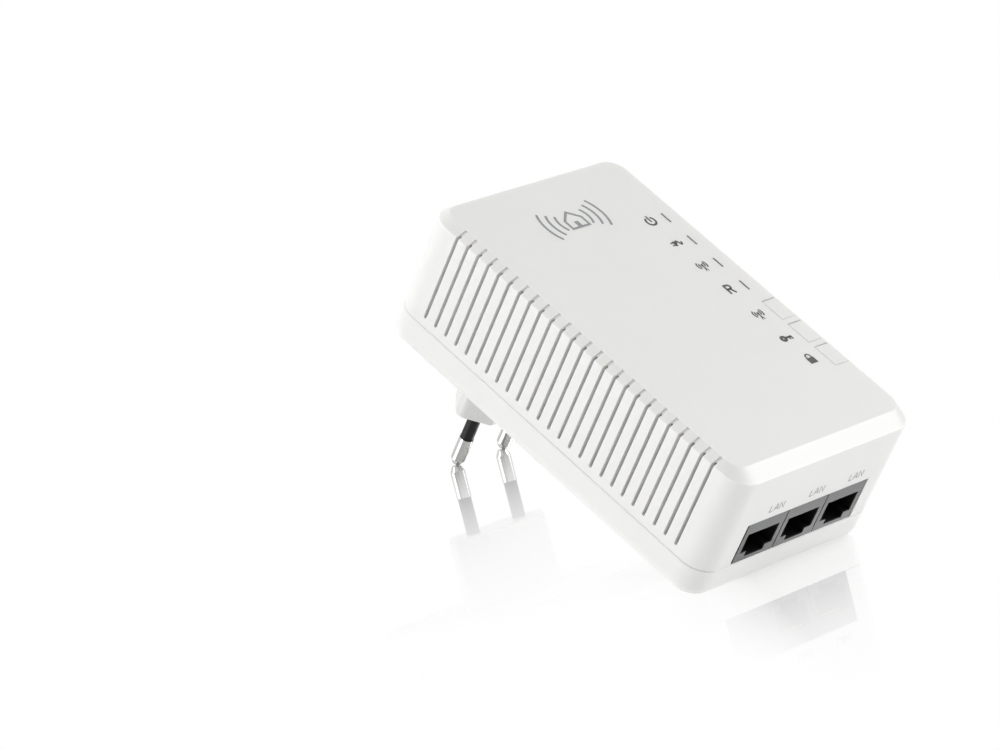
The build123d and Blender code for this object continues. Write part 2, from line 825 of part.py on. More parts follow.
# Network jacks: moulded blocks soldered under the main board, mouths at the port end
port_face_z = port_end_z + port_recess
port_mouth_y = front_y + port_mouth_drop
for number, port_x in enumerate(port_xs, start=1):
    with BuildPart() as lan_jack:
        with BuildSketch(Plane.XY.offset(port_face_z)):
            with Locations((port_x, main_back_y + port_height / 2)):
                Rectangle(port_width, port_height)
        extrude(amount=port_length)
        with BuildSketch(Plane.XY.offset(port_face_z)):
            with Locations((port_x, port_mouth_y + port_mouth_height / 2)):
                Rectangle(port_mouth_width, port_mouth_height)
            for step_width, step_height in latch_steps:
                with Locations((port_x, port_mouth_y + port_mouth_height + step_height / 2)):
                    Rectangle(step_width, step_height)
        extrude(amount=port_mouth_depth, mode=Mode.SUBTRACT)
    lan_jack.part.label = f"lan_jack_{number}"
    export_step(lan_jack.part, f"parts/lan_jack_{number}.step")

    # Contact springs: eight wires that slope back into the mouth from its front side
    with BuildPart() as lan_contacts:
        first_x = port_x - contact_pitch * (contact_count - 1) / 2 - contact_width / 2
        wire_xs = [first_x + contact_pitch * step for step in range(contact_count)]
        root_y = port_mouth_y - contact_root
        root_z = port_face_z + contact_setback
        tip_y = port_mouth_y + contact_drop
        tip_z = root_z + contact_length
        with BuildSketch(*[Plane.YZ.offset(x) for x in wire_xs]):
            Polygon(
                (root_y, root_z),
                (root_y, root_z + contact_thickness),
                (port_mouth_y + contact_thickness, root_z + contact_thickness),
                (tip_y, tip_z),
                (tip_y + contact_thickness, tip_z),
                (port_mouth_y + 2 * contact_thickness, root_z),
                align=None,
            )
        extrude(amount=contact_width)
    lan_contacts.part.label = f"lan_contacts_{number}"
    export_step(lan_contacts.part, f"parts/lan_contacts_{number}.step")

# Antennas: printed strips glued under the front face, with their coaxial leads
antenna_y = front_inner_y + 1.0
antenna_x = 13.0
antenna_z = 10.5
antenna_width = 20.0
antenna_length = 7.0
antenna_thickness = 0.8
lead_radius = 0.6
lead_bend = 2.0
lead_high_y = antenna_y + lead_radius + 0.2
lead_low_y = main_front_y - shield_height - lead_radius - 0.6
for side, direction in (("left", -1), ("right", 1)):
    with BuildPart() as antenna:
        with BuildSketch(at_depth(antenna_y)):
            with Locations((direction * antenna_x, antenna_z)):
                Rectangle(antenna_width, antenna_length)
        extrude(amount=antenna_thickness)
    antenna.part.label = f"antenna_{side}"
    export_step(antenna.part, f"parts/antenna_{side}.step")

    with BuildPart() as antenna_lead:
        with BuildLine() as lead_route:
            FilletPolyline(
                (direction * antenna_x, lead_high_y, 9.0),
                (direction * antenna_x, lead_high_y, 1.0),
                (direction * 11.0, lead_low_y, -2.0),
                (direction * 8.0, lead_low_y, -9.0),
                radius=lead_bend,
            )
        with BuildSketch(Plane(origin=lead_route.line @ 0, z_dir=lead_route.line % 0)):
            Circle(lead_radius)
        sweep()
    antenna_lead.part.label = f"antenna_lead_{side}"
    export_step(antenna_lead.part, f"parts/antenna_lead_{side}.step")

# ---------------------------------------------------------------- lights and keys

# Status lamps: four small packages under the light guide
lamp_width = 1.6
lamp_length = 3.2
lamp_height = 1.2
with BuildPart() as status_lamps:
    with BuildSketch(at_depth(main_front_y)):
        with Locations(*[(light_x, z) for z in light_zs]):
            Rectangle(lamp_width, lamp_length)
    extrude(amount=lamp_height)
status_lamps.part.label = "status_lamps"
export_step(status_lamps.part, "parts/status_lamps.step")

# Light guide: one clear comb, with a leg from each lamp to its slit in the front face
guide_width = 1.8
guide_leg_length = light_length + 0.4
guide_bar_drop = 2.4
guide_bar_height = 2.1
guide_blade_root = 1.0
with BuildPart() as light_guide:
    with BuildSketch(at_depth(main_front_y - lamp_height - fit_gap)):
        with Locations(*[(light_x, z) for z in light_zs]):
            Rectangle(guide_width, guide_leg_length)
    extrude(amount=main_board_drop - lamp_height - wall - 4 * fit_gap)
    with BuildSketch(at_depth(front_inner_y + guide_bar_drop)):
        with Locations((light_x, (light_zs[0] + light_zs[-1]) / 2)):
            Rectangle(guide_width, light_zs[0] - light_zs[-1] + light_length)
    extrude(amount=guide_bar_height)
    with BuildSketch(at_depth(front_inner_y + guide_blade_root)):
        with Locations(*[(light_x, z) for z in light_zs]):
            Rectangle(light_width, light_length)
    extrude(amount=guide_blade_root + wall)
light_guide.part.label = "light_guide"
export_step(light_guide.part, "parts/light_guide.step")

# Keys: caps that follow the cover's front face and rim, each with a stem on a board switch
switch_top_y = main_front_y - switch_height
plunger_top_y = switch_top_y - plunger_stand
for key_name, key_z in zip(key_names, key_zs):
    with BuildPart() as key:
        add(cover_form.part)
        key_width = housing_width / 2 - key_inner_x
        with Locations((key_inner_x + key_width / 2, front_y + key_skirt / 2, key_z)):
            Box(key_width, key_skirt, key_length, mode=Mode.INTERSECT)
        fillet(key.edges().filter_by(Axis.X).group_by(Axis.Y)[0], key_edge_radius)
        # hollow underside
        pocket_width = key_width - key_shell - wall
        with BuildSketch(at_depth(front_y + key_skirt)):
            with Locations((key_inner_x + key_shell + pocket_width / 2, key_z)):
                Rectangle(pocket_width, key_length - 2 * key_shell)
        extrude(amount=key_skirt - key_shell, mode=Mode.SUBTRACT)
        # hook that keeps the key under the front wall
        with BuildSketch(at_depth(front_inner_y + key_hook_gap + key_hook_thickness)):
            with Locations((key_inner_x + (key_shell - key_hook_reach) / 2, key_z)):
                Rectangle(key_shell + key_hook_reach, key_length - 2 * key_shell)
        extrude(amount=key_hook_thickness)
        # stem down to the switch
        with BuildSketch(at_depth(plunger_top_y)):
            with Locations((switch_x, key_z)):
                Rectangle(key_stem, key_stem)
        extrude(amount=plunger_top_y - front_inner_y - key_hook_gap - key_hook_thickness / 2)
    key.part.label = f"key_{key_name}"
    export_step(key.part, f"parts/key_{key_name}.step")

    # Switch plunger: moves with the key into the switch body
    with BuildPart() as plunger:
        with BuildSketch(at_depth(switch_top_y + plunger_depth)):
            with Locations((switch_x, key_z)):
                Circle(plunger_radius)
        extrude(amount=plunger_stand + plunger_depth)
    plunger.part.label = f"plunger_{key_name}"
    export_step(plunger.part, f"parts/plunger_{key_name}.step")

    # Switch body on the main board, with a well deep enough for the plunger's travel
    with BuildPart() as switch:
        with BuildSketch(at_depth(main_front_y)):
            with Locations((switch_x, key_z)):
                Rectangle(switch_side, switch_side)
        extrude(amount=switch_height)
        with BuildSketch(at_depth(switch_top_y)):
            with Locations((switch_x, key_z)):
                Circle(plunger_radius + plunger_gap)
        extrude(amount=-(plunger_depth + key_travel + plunger_spare), mode=Mode.SUBTRACT)
    switch.part.label = f"switch_{key_name}"
    export_step(switch.part, f"parts/switch_{key_name}.step")
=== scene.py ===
import math
import bpy
import numpy as np
from mathutils import Matrix, Vector


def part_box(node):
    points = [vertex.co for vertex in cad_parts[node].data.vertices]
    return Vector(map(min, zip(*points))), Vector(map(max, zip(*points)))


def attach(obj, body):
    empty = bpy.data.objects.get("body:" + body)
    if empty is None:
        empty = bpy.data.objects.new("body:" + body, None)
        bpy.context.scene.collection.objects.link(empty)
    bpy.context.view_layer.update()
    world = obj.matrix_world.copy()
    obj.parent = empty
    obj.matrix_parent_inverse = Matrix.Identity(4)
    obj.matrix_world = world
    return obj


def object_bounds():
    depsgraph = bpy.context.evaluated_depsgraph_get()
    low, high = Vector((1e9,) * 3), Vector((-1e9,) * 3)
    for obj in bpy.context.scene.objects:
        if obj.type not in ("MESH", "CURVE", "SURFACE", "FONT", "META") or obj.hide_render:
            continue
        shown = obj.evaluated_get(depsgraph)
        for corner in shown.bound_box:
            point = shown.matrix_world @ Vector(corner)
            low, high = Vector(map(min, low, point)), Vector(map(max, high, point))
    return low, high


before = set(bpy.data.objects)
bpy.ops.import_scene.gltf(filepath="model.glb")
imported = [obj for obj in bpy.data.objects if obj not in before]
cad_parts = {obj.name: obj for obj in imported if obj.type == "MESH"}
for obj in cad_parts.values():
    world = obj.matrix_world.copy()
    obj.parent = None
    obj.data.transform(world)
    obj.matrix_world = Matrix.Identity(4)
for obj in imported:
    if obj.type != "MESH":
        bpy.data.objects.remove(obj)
cad_low, cad_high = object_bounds()
mm = 0.001
scene = bpy.context.scene

# ---------------------------------------------------------------- camera
# Stands low at the adapter's left, beyond its port end, and looks up along the housing with a
# long lens, so the front face, the vented left side and the port end are seen together.
camera_position = Vector((-0.83242, -0.65906, -0.51335))
camera_right = Vector((0.67006, -0.32602, -0.66688))
camera_down = Vector((-0.22670, 0.76560, -0.60205))
camera_forward = Vector((0.70685, 0.55459, 0.43909))
camera = bpy.data.objects.new("camera", bpy.data.cameras.new("camera"))
camera.data.sensor_width = 36.0
camera.data.lens = 159.82
camera.data.clip_start = 0.01
camera.data.clip_end = 100.0
camera.matrix_world = Matrix.Translation(camera_position) @ Matrix(
    (camera_right, -camera_down, -camera_forward)
).transposed().to_4x4()
scene.collection.objects.link(camera)
scene.camera = camera
scene.view_settings.view_transform = "Standard"

# ---------------------------------------------------------------- floor
# Pale glossy acrylic sheet of a product studio. The adapter lies on it on its two pin tips and
# the back edge of its port end, so the sheet is the plane that touches both.


def corners(names):
    """All the vertices of these CAD nodes as one array of points."""
    parts = []
    for name in names:
        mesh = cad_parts[name].data
        points = np.empty(len(mesh.vertices) * 3, np.float32)
        mesh.vertices.foreach_get("co", points)
        parts.append(points.reshape(-1, 3).astype(float))
    return np.concatenate(parts)


def linear(hex_colour):
    """sRGB hex colour as linear RGBA: below 0.04045 divided by 12.92, else the 2.4 power."""
    values = np.array([int(hex_colour[i : i + 2], 16) for i in (1, 3, 5)]) / 255.0
    values = np.where(values <= 0.04045, values / 12.92, ((values + 0.055) / 1.055) ** 2.4)
    return (*values.tolist(), 1.0)


def add_node(tree, kind, inputs=None, **settings):
    """Adds one node. An input given as a socket is linked, any other value is set on the input."""
    node = tree.nodes.new(kind)
    for name, value in settings.items():
        setattr(node, name, value)
    for name, value in (inputs or {}).items():
        if isinstance(value, bpy.types.NodeSocket):
            tree.links.new(value, node.inputs[name])
        else:
            node.inputs[name].default_value = value
    return node


def start_material(name):
    """An empty node material and its tree."""
    material = bpy.data.materials.new(name)
    material.use_nodes = True
    material.node_tree.nodes.clear()
    return material, material.node_tree


tips, shell = corners(["pin_left", "pin_right"]), corners(["back_shell"])
low_slope, high_slope = 0.2, 0.7
for _ in range(40):
    slope = (low_slope + high_slope) / 2
    if (tips[:, 1] - slope * tips[:, 2]).max() > (shell[:, 1] - slope * shell[:, 2]).max():
        low_slope = slope
    else:
        high_slope = slope
floor_down = Vector((0.0, 1.0, -slope)).normalized()
floor_level = float(max((tips @ np.array(floor_down)).max(), (shell @ np.array(floor_down)).max()))
floor_across = Vector((1.0, 0.0, 0.0))
floor_along = floor_down.cross(floor_across)
floor_centre = floor_down * floor_level
# half the sheet's side in metres, so that it fills the view
floor_reach = 8.0
floor_mesh = bpy.data.meshes.new("studio_floor")
floor_mesh.from_pydata(
    [
        floor_centre + floor_across * (a * floor_reach) + floor_along * (b * floor_reach)
        for a, b in ((-1, -1), (-1, 1), (1, 1), (1, -1))
    ],
    [],
    [(0, 1, 2, 3)],
)
if floor_mesh.polygons[0].normal.dot(floor_down) > 0:
    floor_mesh.flip_normals()
studio_floor = bpy.data.objects.new("studio_floor", floor_mesh)
scene.collection.objects.link(studio_floor)

# The sheet mirrors what stands close to it: in front of the pin tips, and round the left half of
# the port end's edge. From below it is clear, so the adapter's back can be inspected.
pin_touch = Vector(tips[np.argmax(tips @ np.array(floor_down))].tolist())
shell_low, shell_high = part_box("back_shell")
edge_touch = Vector((shell_low.x, shell_high.y, shell_low.z))
patch_inset = 25 * mm
edge_inner = edge_touch + floor_across * patch_inset
# where a stretch starts, which way it runs, how strongly it mirrors there, and how far out that
# drops to a third; the first stands alone, and the rest bound one patch
mirror_stretches = [
    (pin_touch, floor_along, 0.95, 30 * mm),
    (edge_touch, floor_along, 0.6, 28 * mm),
    (edge_touch, -floor_along, 0.6, 14 * mm),
    (edge_inner, -floor_across, 0.6, 16 * mm),
]
# taken off each, so that the mirroring ends instead of trailing away
far_cut = 0.035
acrylic, tree = start_material("glossy_white_acrylic")
place = add_node(tree, "ShaderNodeTexCoord").outputs["Object"]
fades = []
for start, outward, strength, reach in mirror_stretches:
    along = add_node(
        tree, "ShaderNodeVectorMath", {0: place, 1: tuple(outward)}, operation="DOT_PRODUCT"
    )
    distance = add_node(
        tree,
        "ShaderNodeMath",
        {0: outward.dot(start), 1: along.outputs["Value"]},
        operation="SUBTRACT",
    )
    steps = add_node(tree, "ShaderNodeMath", {0: distance.outputs[0], 1: reach}, operation="DIVIDE")
    drop = add_node(tree, "ShaderNodeMath", {0: steps.outputs[0]}, operation="EXPONENT")
    fades.append(
        add_node(
            tree,
            "ShaderNodeMath",
            {0: drop.outputs[0], 1: strength, 2: -far_cut},
            operation="MULTIPLY_ADD",
            use_clamp=True,
        ).outputs[0]
    )
sides = add_node(tree, "ShaderNodeMath", {0: fades[1], 1: fades[2]}, operation="MINIMUM")
patch = add_node(tree, "ShaderNodeMath", {0: sides.outputs[0], 1: fades[3]}, operation="MINIMUM")
fade = add_node(tree, "ShaderNodeMath", {0: fades[0], 1: patch.outputs[0]}, operation="MAXIMUM")
pale = add_node(tree, "ShaderNodeEmission", {"Color": linear("#ffffff"), "Strength": 1.0})
mirror = add_node(
    tree, "ShaderNodeBsdfGlossy", {"Color": (1.0, 1.0, 1.0, 1.0), "Roughness": 0.03}
)
sheet = add_node(
    tree, "ShaderNodeMixShader", {0: fade.outputs[0], 1: pale.outputs[0], 2: mirror.outputs[0]}
)
clear = add_node(tree, "ShaderNodeBsdfTransparent")
back = add_node(tree, "ShaderNodeNewGeometry").outputs["Backfacing"]
one_way = add_node(tree, "ShaderNodeMixShader", {0: back, 1: sheet.outputs[0], 2: clear.outputs[0]})
add_node(tree, "ShaderNodeOutputMaterial", {"Surface": one_way.outputs[0]})
floor_mesh.materials.append(acrylic)

# ---------------------------------------------------------------- studio light
# White sweep behind the adapter that falls off towards the camera, so the faces keep apart in
# tone, with three soft boxes: on the left side, on the port end and on the port end's slope.
world = bpy.data.worlds.new("white_sweep")
world.use_nodes = True
tree = world.node_tree
tree.nodes.clear()
sweep_middle = (0.707, -0.075, 0.704)
# the sweep's strength on the camera's side, and the cosine from its middle where it is full
dim_side = 0.26
full_from = 0.3
direction = add_node(tree, "ShaderNodeTexCoord").outputs["Generated"]
facing = add_node(
    tree, "ShaderNodeVectorMath", {0: direction, 1: sweep_middle}, operation="DOT_PRODUCT"
)
dimmer = add_node(
    tree,
    "ShaderNodeMapRange",
    {
        "Value": facing.outputs["Value"],
        "From Min": -1.0,
        "From Max": full_from,
        "To Min": dim_side,
        "To Max": 1.0,
    },
    interpolation_type="SMOOTHSTEP",
)
sweep = add_node(
    tree, "ShaderNodeBackground", {"Color": linear("#ffffff"), "Strength": dimmer.outputs["Result"]}
)
add_node(tree, "ShaderNodeOutputWorld", {"Surface": sweep.outputs[0]})
scene.world = world

adapter_centre = (cad_low + cad_high) / 2
# name, direction from the adapter, distance in metres, side in metres, power in watts
soft_boxes = [
    ("side_box", Vector((-0.8, -0.05, 0.6)), 1.4, 0.8, 6.2),
    ("port_box", Vector((0.75, -0.1, -0.65)), 1.4, 0.8, 10.4),
    ("rim_box", Vector((0.706, -0.709, 0.005)), 1.2, 0.35, 7.5),
]
for name, toward, reach, size, power in soft_boxes:
    lamp = bpy.data.lights.new(name, "AREA")
    lamp.size = size
    lamp.energy = power
    box = bpy.data.objects.new(name, lamp)
    box.location = adapter_centre + toward.normalized() * reach
    box.rotation_mode = "QUATERNION"
    box.rotation_quaternion = toward.to_track_quat("Z", "Y")
    # the slope's light is meant for its gloss only, so that the front face stays a little darker
    box.visible_diffuse = name != "rim_box"
    scene.collection.objects.link(box)

# ---------------------------------------------------------------- housing
# Two injection mouldings in white ABS: a deep front cover with vents, and a shallow back shell.
# Both come from spark-eroded moulds, which leave a fine even grain and a satin gloss.


def moulded_plastic(name, colour, roughness, grain, relief, shine=0.5, scatter=0.0):
    """Moulded plastic: a fine eroded grain as bump, and the same grain a little in the gloss.

    grain is the grain's spacing and relief its depth, both in millimetres. scatter is the share
    of light that enters and comes out again about a millimetre away.
    """
    material, tree = start_material(name)
    place = add_node(tree, "ShaderNodeTexCoord").outputs["Object"]
    fine = add_node(
        tree,
        "ShaderNodeTexNoise",
        {"Vector": place, "Scale": 1.0 / (grain * mm), "Detail": 3.0, "Roughness": 0.6},
    )
    broad = add_node(
        tree, "ShaderNodeTexNoise", {"Vector": place, "Scale": 1.0 / (18.0 * mm), "Detail": 2.0}
    )
    bump = add_node(
        tree,
        "ShaderNodeBump",
        {"Height": fine.outputs["Fac"], "Distance": relief * mm, "Strength": 1.0},
    )
    tone = add_node(
        tree,
        "ShaderNodeMapRange",
        {"Value": broad.outputs["Fac"], "To Min": 0.985, "To Max": 1.015},
    )
    shade = add_node(
        tree,
        "ShaderNodeVectorMath",
        {0: linear(colour)[:3], "Scale": tone.outputs["Result"]},
        operation="SCALE",
    )
    gloss = add_node(
        tree,
        "ShaderNodeMapRange",
        {"Value": fine.outputs["Fac"], "To Min": roughness - 0.05, "To Max": roughness + 0.05},
    )
    skin = add_node(
        tree,
        "ShaderNodeBsdfPrincipled",
        {
            "Base Color": shade.outputs["Vector"],
            "Roughness": gloss.outputs["Result"],
            "IOR": 1.53,
            "Specular IOR Level": shine,
            "Subsurface Weight": scatter,
            "Subsurface Radius": (1.0, 0.95, 0.85),
            "Subsurface Scale": 1.2 * mm,
            "Normal": bump.outputs["Normal"],
        },
    )
    add_node(tree, "ShaderNodeOutputMaterial", {"Surface": skin.outputs[0]})
    return material


def finish_nodes(names, material):
    """Gives these CAD nodes one material."""
    for name in names:
        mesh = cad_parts[name].data
        mesh.materials.clear()
        mesh.materials.append(material)


# ABS, spark-eroded: an even satin white, and light that soaks in lifts its narrow slots
white_abs = moulded_plastic("white_abs_satin", "#ebebe9", 0.42, 0.30, 0.012, scatter=0.6)
finish_nodes(["front_cover", "back_shell"], white_abs)

# ---------------------------------------------------------------- mains plug
# Raised nose of heat-resistant white polycarbonate, polished in the mould, with two turned brass
# pins that are nickel plated and moulded-over with black sleeves at their roots.
nose_white = moulded_plastic("white_polycarbonate_semi_gloss", "#dededc", 0.28, 0.3, 0.001)
finish_nodes(["plug_nose"], nose_white)
# polyamide sleeve: a dull black moulding
black_sleeve = moulded_plastic("black_polyamide_matt", "#0b0b0c", 0.5, 0.2, 0.01, 0.3)
finish_nodes(["pin_sleeve_left", "pin_sleeve_right"], black_sleeve)


def plated_metal(name, colour, roughness, mark, relief, stretch=(1.0, 1.0, 1.0)):
    """Metal with the marks of its making: a noise whose spacing is mark millimetres, stretched."""
    material, tree = start_material(name)
    place = add_node(tree, "ShaderNodeTexCoord").outputs["Object"]
    drawn = add_node(tree, "ShaderNodeMapping", {"Vector": place, "Scale": stretch})
    marks = add_node(
        tree,
        "ShaderNodeTexNoise",
        {"Vector": drawn.outputs["Vector"], "Scale": 1.0 / (mark * mm), "Detail": 2.0},
    )
    bump = add_node(
        tree, "ShaderNodeBump", {"Height": marks.outputs["Fac"], "Distance": relief * mm}
    )
    gloss = add_node(
        tree,
        "ShaderNodeMapRange",
        {"Value": marks.outputs["Fac"], "To Min": roughness * 0.6, "To Max": roughness * 1.4},
    )
    skin = add_node(
        tree,
        "ShaderNodeBsdfPrincipled",
        {
            "Base Color": linear(colour),
            "Metallic": 1.0,
            "Roughness": gloss.outputs["Result"],
            "Normal": bump.outputs["Normal"],
        },
    )
    add_node(tree, "ShaderNodeOutputMaterial", {"Surface": skin.outputs[0]})
    return material


# bright nickel over turned brass: fine rings round the pin, 0.15 mm apart along it
nickel = plated_metal("bright_nickel_turned", "#c4c4c2", 0.16, 1.5, 0.002, (0.3, 10.0, 0.3))
finish_nodes(["pin_left", "pin_right"], nickel)

# ---------------------------------------------------------------- network jacks
# Three jacks moulded in dark glass-filled polyester, with eroded grey-black faces and eight
# gold-flashed springs lying along the front side of each. The mouths are painted near-black a
# little way in: painted shade in the recesses.
jack_face_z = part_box("lan_jack_1")[0].z
jack_skin, tree = start_material("black_polyester_jack_painted_mouth_shade")
place = add_node(tree, "ShaderNodeTexCoord").outputs["Object"]
height = add_node(tree, "ShaderNodeSeparateXYZ", {"Vector": place}).outputs["Z"]
depth = add_node(
    # the colour goes from the face's grey to near-black 0.05 to 0.5 mm into the mouths: painted shade
    tree,
    "ShaderNodeMapRange",
    {"Value": height, "From Min": jack_face_z + 0.05 * mm, "From Max": jack_face_z + 0.5 * mm},
)
grain = add_node(
    tree, "ShaderNodeTexNoise", {"Vector": place, "Scale": 1.0 / (0.25 * mm), "Detail": 3.0}
)
painted_mouth_shade = add_node(tree, "ShaderNodeValToRGB", {"Fac": depth.outputs["Result"]})
painted_mouth_shade.color_ramp.elements[0].color = linear("#414242")
painted_mouth_shade.color_ramp.elements[1].color = linear("#050505")
bump = add_node(
    tree, "ShaderNodeBump", {"Height": grain.outputs["Fac"], "Distance": 0.012 * mm}
)
skin = add_node(
    tree,
    "ShaderNodeBsdfPrincipled",
    {
        "Base Color": painted_mouth_shade.outputs["Color"],
        "Roughness": 0.5,
        "IOR": 1.56,
        "Specular IOR Level": 0.3,
        "Normal": bump.outputs["Normal"],
    },
)
add_node(tree, "ShaderNodeOutputMaterial", {"Surface": skin.outputs[0]})
finish_nodes(["lan_jack_1", "lan_jack_2", "lan_jack_3"], jack_skin)
gold = plated_metal("gold_flashed_spring", "#d9b263", 0.22, 0.4, 0.002, (1.0, 1.0, 0.2))
finish_nodes(["lan_contacts_1", "lan_contacts_2", "lan_contacts_3"], gold)

# ---------------------------------------------------------------- keys
# Three key caps in the cover's own white ABS, moulded from the same eroded grain, so that they
# show only by the narrow gap round them. Each presses a board switch through its own stem.
finish_nodes(["key_wifi", "key_pair", "key_lock"], white_abs)
plunger_plastic = moulded_plastic("grey_polyamide_plunger", "#4a4b4d", 0.45, 0.2, 0.01)
finish_nodes(["plunger_wifi", "plunger_pair", "plunger_lock"], plunger_plastic)

# ---------------------------------------------------------------- light guide
# One comb of clear polycarbonate that carries light from four lamps on the board to four slits
# in the front face. Unlit, the slit ends look smoky grey.
clear_guide, tree = start_material("clear_polycarbonate_guide")
place = add_node(tree, "ShaderNodeTexCoord").outputs["Object"]
haze = add_node(tree, "ShaderNodeTexNoise", {"Vector": place, "Scale": 1.0 / (0.8 * mm), "Detail": 1.0})
gloss = add_node(
    tree, "ShaderNodeMapRange", {"Value": haze.outputs["Fac"], "To Min": 0.08, "To Max": 0.2}
)
skin = add_node(
    tree,
    "ShaderNodeBsdfPrincipled",
    {
        "Base Color": linear("#a9aaa4"),
        "Roughness": gloss.outputs["Result"],
        "IOR": 1.58,
        "Transmission Weight": 0.6,
    },
)
add_node(tree, "ShaderNodeOutputMaterial", {"Surface": skin.outputs[0]})
finish_nodes(["light_guide"], clear_guide)

# ---------------------------------------------------------------- rating label
# Blank polyester film, glued into the shallow recess in the back shell. Calendering leaves it a
# fine even tooth and a dull silvery white.
label_film = moulded_plastic("silver_white_polyester_film", "#c9caca", 0.34, 0.12, 0.002)
finish_nodes(["rating_label"], label_film)

# ---------------------------------------------------------------- screws
# Cold-headed steel screws, bright zinc plated. Four pull the housing halves together, and others
# hold the two boards on their posts. The drawn wire leaves faint rings on the heads.
zinc_steel = plated_metal("bright_zinc_plated_steel", "#b7bbc0", 0.3, 0.5, 0.004, (3.0, 1.0, 3.0))
finish_nodes(["housing_screws", "power_board_screws", "main_board_screws"], zinc_steel)

# ---------------------------------------------------------------- circuit boards
# Woven glass and epoxy laminate under solder mask: the weave shows as a faint grid of half a
# millimetre, and copper under the mask as paler patches with straight edges.


def circuit_laminate(name, mask_colour, copper_colour, patch):
    """Masked laminate: copper patches about patch millimetres across, and the weave as bump."""
    material, tree = start_material(name)
    place = add_node(tree, "ShaderNodeTexCoord").outputs["Object"]
    # a wave texture's bands are 0.314 of a unit apart at a scale of 1
    weave_scale = 0.314 / (0.5 * mm)
    threads = [
        add_node(
            tree,
            "ShaderNodeTexWave",
            {"Vector": place, "Scale": weave_scale},
            bands_direction=axis,
        ).outputs["Fac"]
        for axis in ("X", "Z")
    ]
    weave = add_node(tree, "ShaderNodeMath", {0: threads[0], 1: threads[1]}, operation="MULTIPLY")
    bump = add_node(
        tree, "ShaderNodeBump", {"Height": weave.outputs[0], "Distance": 0.01 * mm}
    )
    cells = add_node(
        tree,
        "ShaderNodeTexVoronoi",
        {"Vector": place, "Scale": 1.0 / (patch * mm)},
        distance="CHEBYCHEV",
    )
    tone = add_node(tree, "ShaderNodeValToRGB", {"Fac": cells.outputs["Color"]})
    tone.color_ramp.interpolation = "CONSTANT"
    tone.color_ramp.elements[0].color = linear(mask_colour)
    tone.color_ramp.elements[1].position = 0.5
    tone.color_ramp.elements[1].color = linear(copper_colour)
    skin = add_node(
        tree,
        "ShaderNodeBsdfPrincipled",
        {
            "Base Color": tone.outputs["Color"],
            "Roughness": 0.32,
            "IOR": 1.55,
            "Normal": bump.outputs["Normal"],
        },
    )
    add_node(tree, "ShaderNodeOutputMaterial", {"Surface": skin.outputs[0]})
    return material


green_board = circuit_laminate("green_masked_laminate", "#1d5636", "#286a43", 4.0)
finish_nodes(["power_board", "main_board"], green_board)

# ---------------------------------------------------------------- antennas
# Two small boards with a printed copper pattern under black mask, glued under the front face.
# Their thin coaxial leads have smooth black fluoropolymer jackets.
antenna_board = circuit_laminate("black_masked_antenna_laminate", "#17191b", "#6e5433", 2.0)
finish_nodes(["antenna_left", "antenna_right"], antenna_board)
lead_jacket = moulded_plastic("black_fluoropolymer_jacket", "#111112", 0.3, 0.6, 0.003)
finish_nodes(["antenna_lead_left", "antenna_lead_right"], lead_jacket)

# ---------------------------------------------------------------- packages
# Chips, rectifier and small transformers are transfer moulded in black epoxy, soldered flat on
# the boards. The mould leaves a fine grey satin.
chip_epoxy = moulded_plastic("black_chip_epoxy", "#222224", 0.58, 0.12, 0.008, 0.4)
packages = ["bridge_rectifier", "power_chip", "coupling_transformer", "lan_magnetics"]
packages += ["system_chip", "memory_chip", "flash_chip", "wifi_chip"]
finish_nodes(packages, chip_epoxy)

# ---------------------------------------------------------------- switches and header
# Small switches under the keys, and the header between the boards, are moulded in black
# glass-filled nylon, whose fibres leave a coarser, duller skin.
filled_nylon = moulded_plastic("black_glass_filled_nylon", "#19191b", 0.66, 0.5, 0.015, 0.35)
finish_nodes(["switch_wifi", "switch_pair", "switch_lock", "board_header"], filled_nylon)

# ---------------------------------------------------------------- insulating sheet
# Flame-retardant polypropylene film, die-cut and held between the mains board and the back shell.
# It is milky, with a slight pebble of a millimetre from its rollers.
film = moulded_plastic("milky_polypropylene_film", "#d3d5d3", 0.38, 1.0, 0.01, scatter=0.4)
finish_nodes(["insulating_sheet"], film)

# ---------------------------------------------------------------- ferrites
# Cores pressed from ferrite powder and sintered: dark grey, hard and slightly glassy, with pores
# a few tenths of a millimetre apart.
ferrite = moulded_plastic("sintered_ferrite", "#37373a", 0.5, 0.35, 0.02, 0.6)
finish_nodes(["choke_core", "transformer_core"], ferrite)

# ---------------------------------------------------------------- choke windings
# Enamelled copper wire of 0.7 mm, wound side by side round the ring core, so its turns point away
# from the ring's axis and the enamel gives them a deep red-brown shine. Where the turns meet, the
# colour is painted near-black: painted shade in the creases between the turns.
ring_low, ring_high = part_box("choke_core")
ring_centre = (ring_low + ring_high) / 2
turns_round_ring = 48.0
enamelled_copper, tree = start_material("enamelled_copper_wire_painted_crease_shade")
place = add_node(tree, "ShaderNodeTexCoord").outputs["Object"]
from_axis = add_node(
    tree, "ShaderNodeVectorMath", {0: place, 1: tuple(ring_centre)}, operation="SUBTRACT"
)
parts = add_node(tree, "ShaderNodeSeparateXYZ", {"Vector": from_axis.outputs["Vector"]})
angle = add_node(
    tree, "ShaderNodeMath", {0: parts.outputs["Y"], 1: parts.outputs["Z"]}, operation="ARCTAN2"
)
phase = add_node(
    tree, "ShaderNodeMath", {0: angle.outputs[0], 1: turns_round_ring / 2}, operation="MULTIPLY"
)
swing = add_node(tree, "ShaderNodeMath", {0: phase.outputs[0]}, operation="SINE")
wire_height = add_node(tree, "ShaderNodeMath", {0: swing.outputs[0]}, operation="ABSOLUTE")
bump = add_node(
    tree, "ShaderNodeBump", {"Height": wire_height.outputs[0], "Distance": 0.35 * mm}
)
